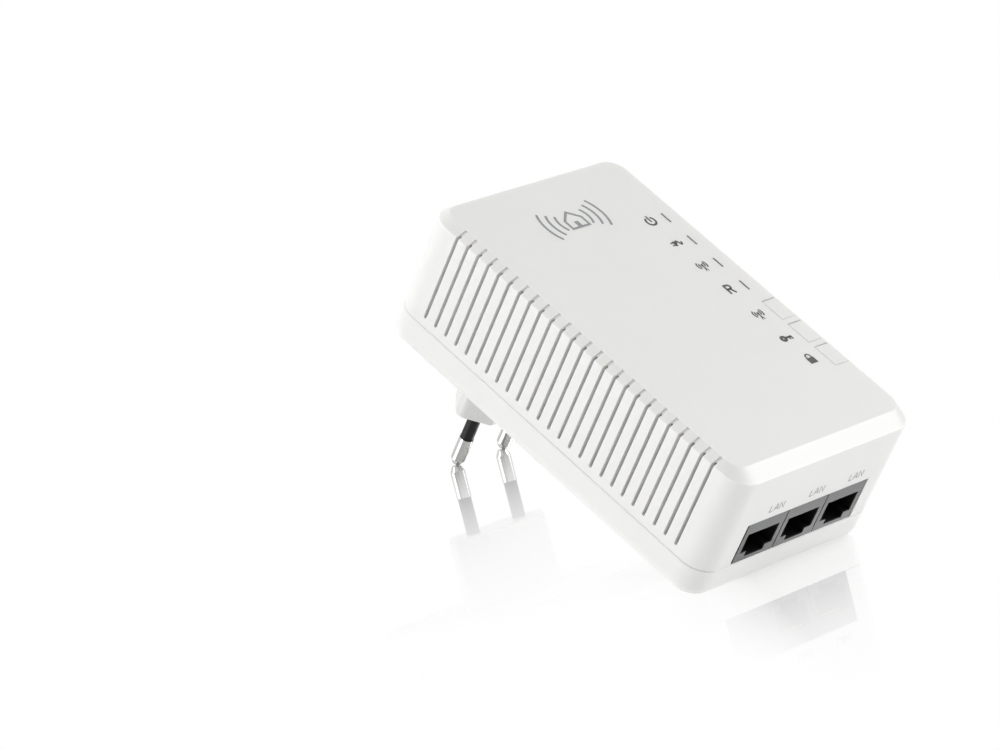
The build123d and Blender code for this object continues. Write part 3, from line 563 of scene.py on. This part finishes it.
# near-black where the wire is low, between the turns: painted crease shade
tone = add_node(tree, "ShaderNodeValToRGB", {"Fac": wire_height.outputs[0]})
tone.color_ramp.elements[0].color = linear("#3a160b")
tone.color_ramp.elements[1].position = 0.45
tone.color_ramp.elements[1].color = linear("#b5623a")
skin = add_node(
    tree,
    "ShaderNodeBsdfPrincipled",
    {
        "Base Color": tone.outputs["Color"],
        "Metallic": 1.0,
        "Roughness": 0.28,
        "Coat Weight": 0.6,
        "Normal": bump.outputs["Normal"],
    },
)
add_node(tree, "ShaderNodeOutputMaterial", {"Surface": skin.outputs[0]})
finish_nodes(["choke_windings"], enamelled_copper)

# ---------------------------------------------------------------- transformer winding
# Wound under yellow polyester tape, whose layers end in a low step about every three millimetres
# up the winding, and which is glossy and a little see-through.
yellow_tape, tree = start_material("yellow_polyester_tape")
place = add_node(tree, "ShaderNodeTexCoord").outputs["Object"]
laps = add_node(
    tree,
    "ShaderNodeTexWave",
    {"Vector": place, "Scale": 0.314 / (3.0 * mm), "Distortion": 0.4, "Detail": 1.0},
    bands_direction="Y",
    wave_profile="SAW",
)
bump = add_node(tree, "ShaderNodeBump", {"Height": laps.outputs["Fac"], "Distance": 0.08 * mm})
tone = add_node(tree, "ShaderNodeValToRGB", {"Fac": laps.outputs["Fac"]})
tone.color_ramp.elements[0].color = linear("#d8a51f")
tone.color_ramp.elements[1].color = linear("#efc23a")
skin = add_node(
    tree,
    "ShaderNodeBsdfPrincipled",
    {
        "Base Color": tone.outputs["Color"],
        "Roughness": 0.22,
        "IOR": 1.6,
        "Normal": bump.outputs["Normal"],
    },
)
add_node(tree, "ShaderNodeOutputMaterial", {"Surface": skin.outputs[0]})
finish_nodes(["transformer_winding"], yellow_tape)

# ---------------------------------------------------------------- capacitors
# Electrolytic cans in shrunk black sleeves with bare aluminium at the ends, and a film capacitor
# in a moulded yellow box, filled with epoxy.


def sleeved_can(name, sleeve_colour, axis, low, high):
    """Shrunk plastic sleeve along an axis, with bare aluminium outside low to high in metres."""
    material, tree = start_material(name)
    place = add_node(tree, "ShaderNodeTexCoord").outputs["Object"]
    along = add_node(tree, "ShaderNodeSeparateXYZ", {"Vector": place}).outputs[axis]
    sleeved = add_node(
        tree,
        "ShaderNodeMath",
        {0: along, 1: (low + high) / 2, 2: (high - low) / 2},
        operation="COMPARE",
    )
    wrinkle = add_node(
        tree, "ShaderNodeTexNoise", {"Vector": place, "Scale": 1.0 / (3.0 * mm), "Detail": 1.0}
    )
    bump = add_node(
        tree, "ShaderNodeBump", {"Height": wrinkle.outputs["Fac"], "Distance": 0.06 * mm}
    )
    sleeve = add_node(
        tree,
        "ShaderNodeBsdfPrincipled",
        {"Base Color": linear(sleeve_colour), "Roughness": 0.3, "Normal": bump.outputs["Normal"]},
    )
    aluminium = add_node(
        tree,
        "ShaderNodeBsdfPrincipled",
        {"Base Color": linear("#c8cacc"), "Metallic": 1.0, "Roughness": 0.35},
    )
    whole = add_node(
        tree,
        "ShaderNodeMixShader",
        {0: sleeved.outputs[0], 1: aluminium.outputs[0], 2: sleeve.outputs[0]},
    )
    add_node(tree, "ShaderNodeOutputMaterial", {"Surface": whole.outputs[0]})
    return material


crimp = 0.3 * mm
low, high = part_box("bulk_capacitor")
bulk_sleeve = sleeved_can("bulk_can_sleeve", "#1b1d20", "Z", low.z + crimp, high.z - crimp)
finish_nodes(["bulk_capacitor"], bulk_sleeve)
low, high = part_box("output_capacitors")
output_sleeve = sleeved_can("output_can_sleeve", "#20242c", "Y", low.y + crimp, high.y)
finish_nodes(["output_capacitors"], output_sleeve)
yellow_box = moulded_plastic("yellow_polyester_box", "#d9a92c", 0.42, 0.4, 0.01)
finish_nodes(["x_capacitor"], yellow_box)

# ---------------------------------------------------------------- varistor
# Zinc oxide disc dipped in blue epoxy, which dries with a soft orange peel of a millimetre.
blue_epoxy = moulded_plastic("blue_dipped_epoxy", "#2a4fa0", 0.25, 1.2, 0.06)
finish_nodes(["varistor"], blue_epoxy)

# ---------------------------------------------------------------- fuse
# Clear glass tube between two nickel caps that are pressed on and soldered.
low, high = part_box("fuse")
cap_length = 5.0 * mm
glass_fuse, tree = start_material("glass_tube_with_nickel_caps")
place = add_node(tree, "ShaderNodeTexCoord").outputs["Object"]
along = add_node(tree, "ShaderNodeSeparateXYZ", {"Vector": place}).outputs["X"]
in_tube = add_node(
    tree,
    "ShaderNodeMath",
    {0: along, 1: (low.x + high.x) / 2, 2: (high.x - low.x) / 2 - cap_length},
    operation="COMPARE",
)
dust = add_node(
    tree, "ShaderNodeTexNoise", {"Vector": place, "Scale": 1.0 / (0.7 * mm), "Detail": 2.0}
)
gloss = add_node(
    tree, "ShaderNodeMapRange", {"Value": dust.outputs["Fac"], "To Min": 0.02, "To Max": 0.12}
)
glass = add_node(
    tree,
    "ShaderNodeBsdfPrincipled",
    {
        "Base Color": linear("#e8efee"),
        "Roughness": gloss.outputs["Result"],
        "IOR": 1.52,
        "Transmission Weight": 0.8,
    },
)
cap = add_node(
    tree,
    "ShaderNodeBsdfPrincipled",
    {"Base Color": linear("#c4c4c2"), "Metallic": 1.0, "Roughness": 0.3},
)
whole = add_node(
    tree, "ShaderNodeMixShader", {0: in_tube.outputs[0], 1: cap.outputs[0], 2: glass.outputs[0]}
)
add_node(tree, "ShaderNodeOutputMaterial", {"Surface": whole.outputs[0]})
finish_nodes(["fuse"], glass_fuse)

# ---------------------------------------------------------------- heatsink and shield
# The heatsink is extruded aluminium, black anodised, glued on the large chip: its die lines run
# along the fins. The radio's lid is drawn from tinned steel and shows the sheet's rolling marks.
anodised = plated_metal("black_anodised_aluminium", "#2b2c2e", 0.45, 0.6, 0.004, (6.0, 6.0, 0.2))
finish_nodes(["heatsink"], anodised)
tinned_steel = plated_metal("rolled_tinned_steel", "#bfc0bd", 0.32, 0.8, 0.003, (8.0, 8.0, 0.3))
finish_nodes(["wifi_shield"], tinned_steel)

# ---------------------------------------------------------------- lamps
# Surface-mount lamps: white ceramic-filled bodies with a matt face and a silicone lens.
lamp_body = moulded_plastic("white_lamp_body", "#dddcd4", 0.5, 0.15, 0.005, scatter=0.3)
finish_nodes(["status_lamps"], lamp_body)

# ---------------------------------------------------------------- printed marks
# Pad-printed ink on the front face and above the jacks: small function signs beside the lamps
# and keys, port names, and a plain house-and-signal sign in the upper part of the face.
ink_height = 0.02 * mm
ink_sink = 0.01 * mm
front_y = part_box("front_cover")[0].y
end_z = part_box("front_cover")[0].z


def stroke(points, width, round_ends=True):
    """A ribbon carried along a flat path, as vertex rows of four and faces, in millimetres.

    Across the path it is a rectangle. At a bend its sides meet on the line that halves the
    angle, at half the width over the cosine of half the turn. A round end narrows as a circle.
    """
    path = np.array(points, float)
    closed = bool(np.allclose(path[0], path[-1]))
    if closed:
        path = path[:-1]
        run = np.roll(path, -1, axis=0) - path
    else:
        run = np.diff(path, axis=0)
    run = run / np.linalg.norm(run, axis=1, keepdims=True)
    before = np.roll(run, 1, axis=0) if closed else np.vstack([run[:1], run])
    after = run if closed else np.vstack([run, run[-1:]])
    middle = before + after
    middle = middle / np.linalg.norm(middle, axis=1, keepdims=True)
    # at a sharp bend the sides reach out to the width at most
    reach = width / 2 / np.clip((middle * after).sum(axis=1), 0.5, 1.0)
    if round_ends and not closed:
        cap_rows = 5
        steps = np.sin(np.linspace(np.pi / 2, 0.0, cap_rows + 1))[:-1] * width / 2
        # just short of the full round, so that the last row still has a width
        steps[0] *= 0.995
        narrow = np.sqrt((width / 2) ** 2 - steps**2)
        first_cap = path[0] - run[0] * steps[:, None]
        last_cap = path[-1] + run[-1] * steps[::-1, None]
        path = np.vstack([first_cap, path, last_cap])
        first_runs = np.tile(run[0], (cap_rows, 1))
        last_runs = np.tile(run[-1], (cap_rows, 1))
        middle = np.vstack([first_runs, middle, last_runs])
        reach = np.concatenate([narrow, reach, narrow[::-1]])
    side = np.stack([-middle[:, 1], middle[:, 0]], axis=1) * reach[:, None]
    left, right = path + side, path - side
    low, high = np.full((len(path), 1), -ink_sink / mm), np.full((len(path), 1), ink_height / mm)
    ring = [np.hstack([left, low]), np.hstack([left, high])]
    ring += [np.hstack([right, high]), np.hstack([right, low])]
    rows = np.stack(ring, axis=1)
    count = len(path)
    spans = np.arange(count if closed else count - 1)
    turn = np.arange(4)
    a = (spans[:, None] * 4 + turn).ravel()
    b = (spans[:, None] * 4 + (turn + 1) % 4).ravel()
    jump = np.repeat((spans + 1) % count * 4 - spans * 4, 4)
    faces = np.stack([a, b, b + jump, a + jump], axis=1).tolist()
    if not closed:
        last = 4 * (count - 1)
        faces += [[3, 2, 1, 0], [last, last + 1, last + 2, last + 3]]
    return rows.reshape(-1, 3), faces


def arc(x, y, radius, start, end, steps=14):
    """Points on an arc, angles in degrees counted from +x towards +y."""
    angle = np.radians(np.linspace(start, end, steps))
    return np.stack([x + radius * np.cos(angle), y + radius * np.sin(angle)], axis=1)


def print_mark(name, strokes, place, material):
    """Joins strokes into one printed piece. place turns (across, up, out) in mm to the frame."""
    points, faces, first = [], [], 0
    for rows, quads in strokes:
        points.append(rows)
        faces += [[i + first for i in quad] for quad in quads]
        first += len(rows)
    mesh = bpy.data.meshes.new(name)
    mesh.from_pydata(place(np.concatenate(points) * mm).tolist(), [], faces)
    mesh.materials.append(material)
    mark = bpy.data.objects.new(name, mesh)
    scene.collection.objects.link(mark)
    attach(mark, "adapter")
    return mark


def on_front(x, z):
    """Places a mark on the front face, its middle at x and z in millimetres."""
    return lambda p: np.stack([x * mm + p[:, 0], front_y - p[:, 2], z * mm + p[:, 1]], axis=1)


def on_port_end(x, y):
    """Places a mark on the port end, upright towards the front face."""
    return lambda p: np.stack([x * mm + p[:, 0], y * mm - p[:, 1], end_z - p[:, 2]], axis=1)


def printing_ink(name, colour):
    """Pad-printing ink: a dull film whose cover varies a little over 0.4 mm."""
    material, tree = start_material(name)
    place = add_node(tree, "ShaderNodeTexCoord").outputs["Object"]
    cover = add_node(
        tree, "ShaderNodeTexNoise", {"Vector": place, "Scale": 1.0 / (0.4 * mm), "Detail": 2.0}
    )
    tone = add_node(
        tree, "ShaderNodeMapRange", {"Value": cover.outputs["Fac"], "To Min": 0.85, "To Max": 1.15}
    )
    shade = add_node(
        tree,
        "ShaderNodeVectorMath",
        {0: linear(colour)[:3], "Scale": tone.outputs["Result"]},
        operation="SCALE",
    )
    skin = add_node(
        tree,
        "ShaderNodeBsdfPrincipled",
        {"Base Color": shade.outputs["Vector"], "Roughness": 0.55, "IOR": 1.5},
    )
    add_node(tree, "ShaderNodeOutputMaterial", {"Surface": skin.outputs[0]})
    return material


dark_ink = printing_ink("dark_grey_ink", "#3c3c3d")
mid_ink = printing_ink("mid_grey_ink", "#929395")
pale_ink = printing_ink("pale_grey_ink", "#9a9b9c")

line = 0.55
icon_x = 23.9
power_sign = [
    stroke(arc(0, 0, 1.55, 130, 410), 0.62),
    stroke([(0, -0.1), (0, 2.0)], line),
]
wave_x = np.linspace(0.0, 1.9, 15)
powerline_sign = [
    stroke([(-1.0, 0.0), (-0.1, 0.0)], 1.9, False),
    stroke([(-1.9, 0.5), (-1.0, 0.5)], 0.45, False),
    stroke([(-1.9, -0.5), (-1.0, -0.5)], 0.45, False),
    stroke(np.stack([wave_x, 0.8 * np.sin(wave_x / 1.9 * 2 * math.pi)], axis=1), line),
]
antenna_sign = [
    stroke([(0, -1.2), (0, 0.55)], 0.42),
    stroke([(-0.4, -1.8), (0, -0.3), (0.4, -1.8)], 0.25),
    stroke([(0, 0.55), (0, 0.56)], 0.85),
    stroke(arc(0, 0.55, 0.95, 140, 220, 9), 0.42),
    stroke(arc(0, 0.55, 0.95, -40, 40, 9), 0.42),
    stroke(arc(0, 0.55, 1.7, 140, 220, 9), 0.42),
    stroke(arc(0, 0.55, 1.7, -40, 40, 9), 0.42),
]
letter_r = [
    stroke([(-0.95, -1.7), (-0.95, 1.55), (0.2, 1.55)], 0.65, False),
    stroke(arc(0.2, 0.8, 0.75, 90, -90, 10), 0.65, False),
    stroke([(-0.95, 0.05), (0.2, 0.05)], 0.65, False),
    stroke([(0.1, 0.05), (1.05, -1.7)], 0.65, False),
]
key_sign = [
    stroke(arc(-1.1, 0, 0.72, 0, 360, 19), 0.95),
    stroke([(-0.2, 0.1), (2.1, 0.1)], 0.65, False),
    stroke([(1.85, 0.1), (1.85, -0.95)], 0.5, False),
    stroke([(1.0, 0.1), (1.0, -0.85)], 0.5, False),
]
shackle = [(-0.85, 0.3), (-0.85, 0.85), *arc(0, 0.85, 0.85, 172, 8, 12), (0.85, 0.85), (0.85, 0.3)]
padlock_sign = [
    stroke([(-1.38, -0.7), (1.38, -0.7)], 2.15, False),
    stroke(shackle, 0.46, False),
]
front_marks = [
    ("mark_power", power_sign, -5.6),
    ("mark_powerline", powerline_sign, -15.4),
    ("mark_radio", antenna_sign, -25.6),
    ("mark_repeat", letter_r, -35.5),
    ("mark_radio_key", antenna_sign, -46.6),
    ("mark_pair_key", key_sign, -56.6),
    ("mark_lock_key", padlock_sign, -65.4),
]
for name, strokes, z in front_marks:
    print_mark(name, strokes, on_front(icon_x, z), dark_ink)

# Port names: three plain capitals beside each jack, 2.1 mm tall, a little to its right
letter = 2.1
letter_line = 0.28
name_shift = 0.9
name_gap = 2.3
port_name = [
    stroke([(-2.8, letter), (-2.8, 0.0), (-1.7, 0.0)], letter_line, False),
    stroke([(-1.25, 0.0), (-0.35, letter), (0.55, 0.0)], letter_line, False),
    stroke([(-0.95, 0.65), (0.25, 0.65)], letter_line, False),
    stroke([(1.1, 0.0), (1.1, letter), (2.6, 0.0), (2.6, letter)], letter_line, False),
]
for number in (1, 2, 3):
    low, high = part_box(f"lan_jack_{number}")
    middle = (low.x + high.x) / 2 / mm + name_shift
    print_mark(f"port_name_{number}", port_name, on_port_end(middle, low.y / mm - name_gap), pale_ink)

# House between signal arcs: a general sign for a home network
house = [(-3.2, -2.9), (-3.2, 0.4), (0.0, 3.3), (3.2, 0.4), (3.2, -2.9), (-3.2, -2.9)]
home_sign = [stroke(house, 0.75), stroke([(0.0, -2.6), (0.0, -0.6)], 1.5, False)]
for radius in (5.6, 8.2, 10.8):
    for start, end in ((-28, 28), (152, 208)):
        home_sign.append(stroke(arc(0, 0, radius, start, end, 16), 0.75))
print_mark("home_network_sign", home_sign, on_front(1.8, 2.6), mid_ink)
